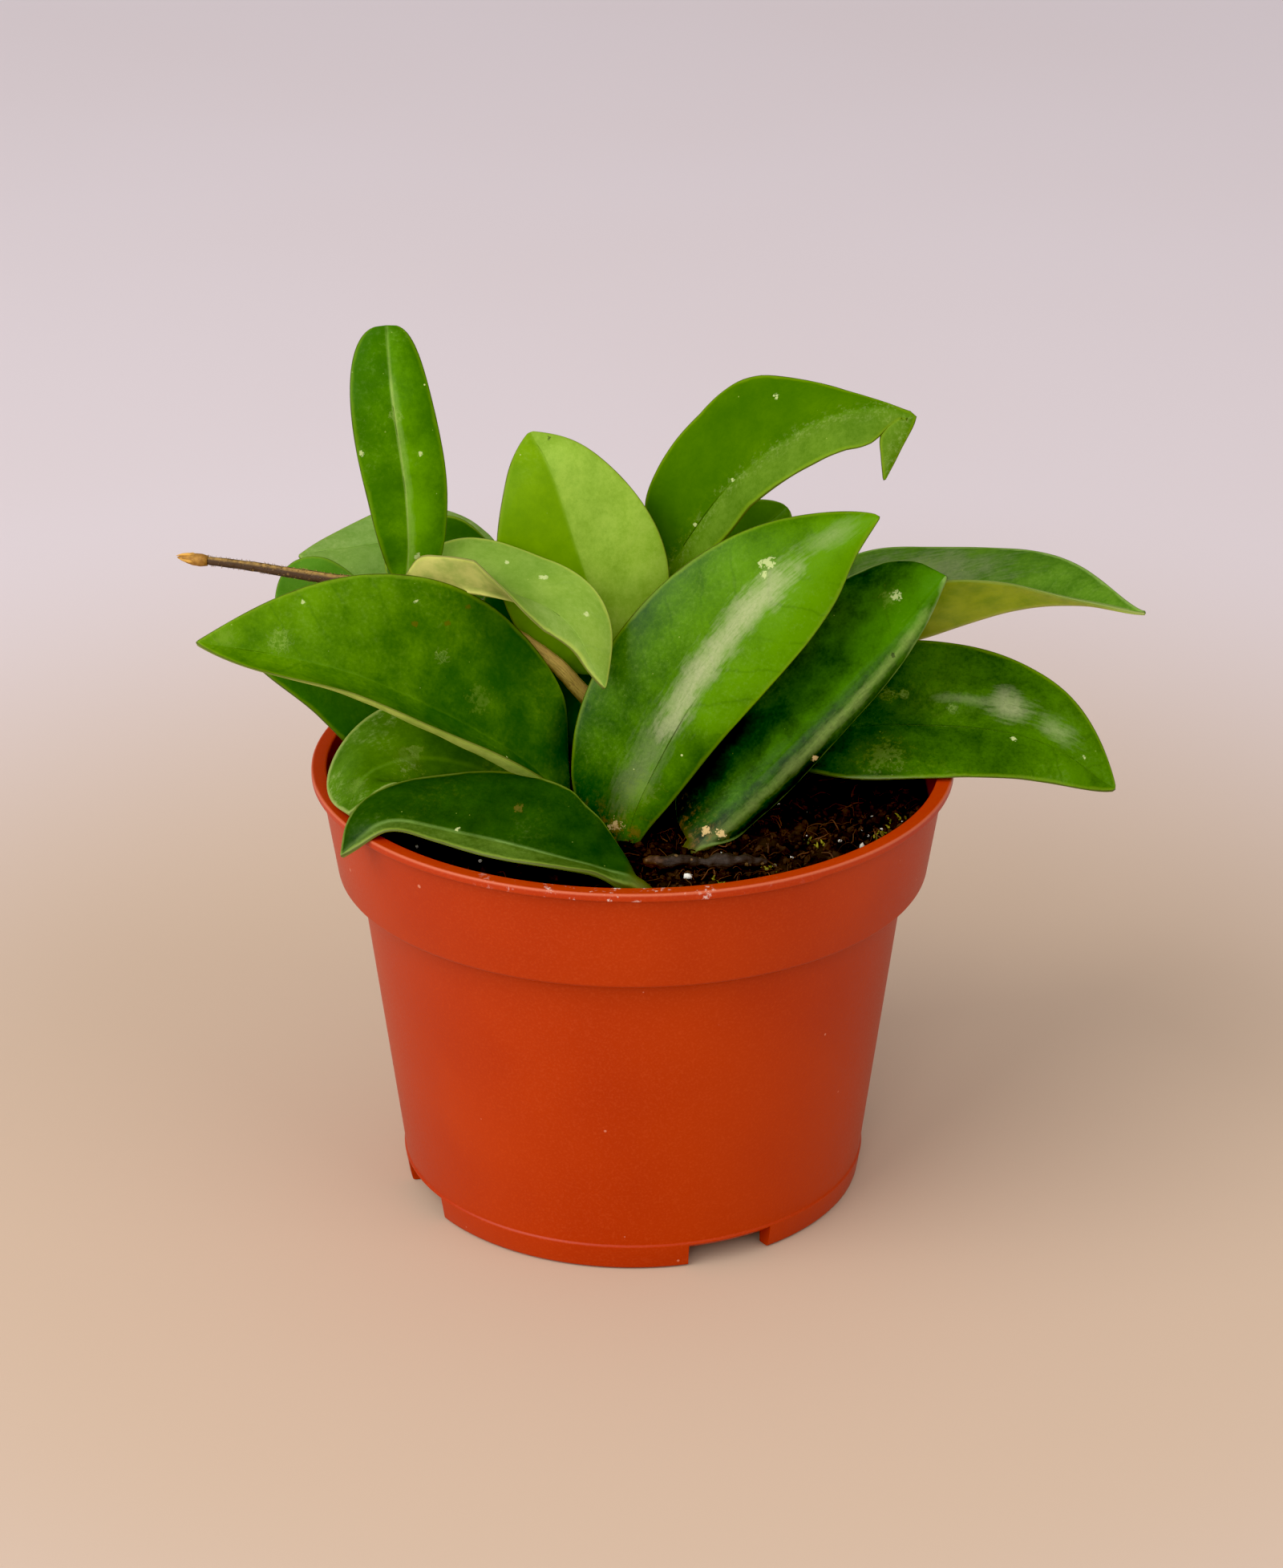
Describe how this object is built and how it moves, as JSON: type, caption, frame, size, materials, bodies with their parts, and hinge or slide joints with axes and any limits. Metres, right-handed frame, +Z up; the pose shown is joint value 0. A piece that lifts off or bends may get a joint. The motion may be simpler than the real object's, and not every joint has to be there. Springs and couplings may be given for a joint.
{
  "type": "potted hoya plant",
  "caption": "Waxy-leaved hoya in a round terracotta-coloured plastic nursery pot with soil, a short trailing vine with a bud, and broad glossy green leaves.",
  "frame": {"origin": "centre of the bounding box at its bottom, on the surface that the pot stands on; the pot's axis lies 4.9 mm towards -X of it", "axes": "+Z up, -Y is the side that the picture shows, +X to the right of it along the plant's longest reach"},
  "size_m": [0.1782, 0.12, 0.1671],
  "materials": {
    "pot": "satin moulded plastic, terracotta orange",
    "soil": "dark peat with fibres, bits of bark and white perlite",
    "stems": "matt, green-brown, lightly hairy",
    "bud": "matt, tan",
    "bark": "matt, rough",
    "leaves": "waxy gloss over mid green, paler below, with a fine brown margin"
  },
  "bodies": {
    "root": {"pot": "pot", "soil": "soil", "stem_vine": "stems", "stem_centre": "stems", "stem_right": "stems", "stem_left": "stems", "stem_back": "stems", "vine_bud": "bud", "bark_bit": "bark", "leaf_front_broad": "leaves", "leaf_front_rolled": "leaves", "leaf_right_low": "leaves", "leaf_right_folded": "leaves", "leaf_left_broad": "leaves", "leaf_front_low": "leaves", "leaf_left_low": "leaves", "leaf_left_under": "leaves", "leaf_upright": "leaves", "leaf_vine_young": "leaves", "leaf_centre_tall": "leaves", "leaf_top_arched": "leaves", "leaf_back_left": "leaves", "leaf_behind_twig": "leaves", "leaf_behind_upright": "leaves", "leaf_behind_arched": "leaves", "leaf_inner": "leaves", "leaf_back_right": "leaves", "leaf_back_centre": "leaves", "leaf_back_low": "leaves"}
  },
  "joints": []
}
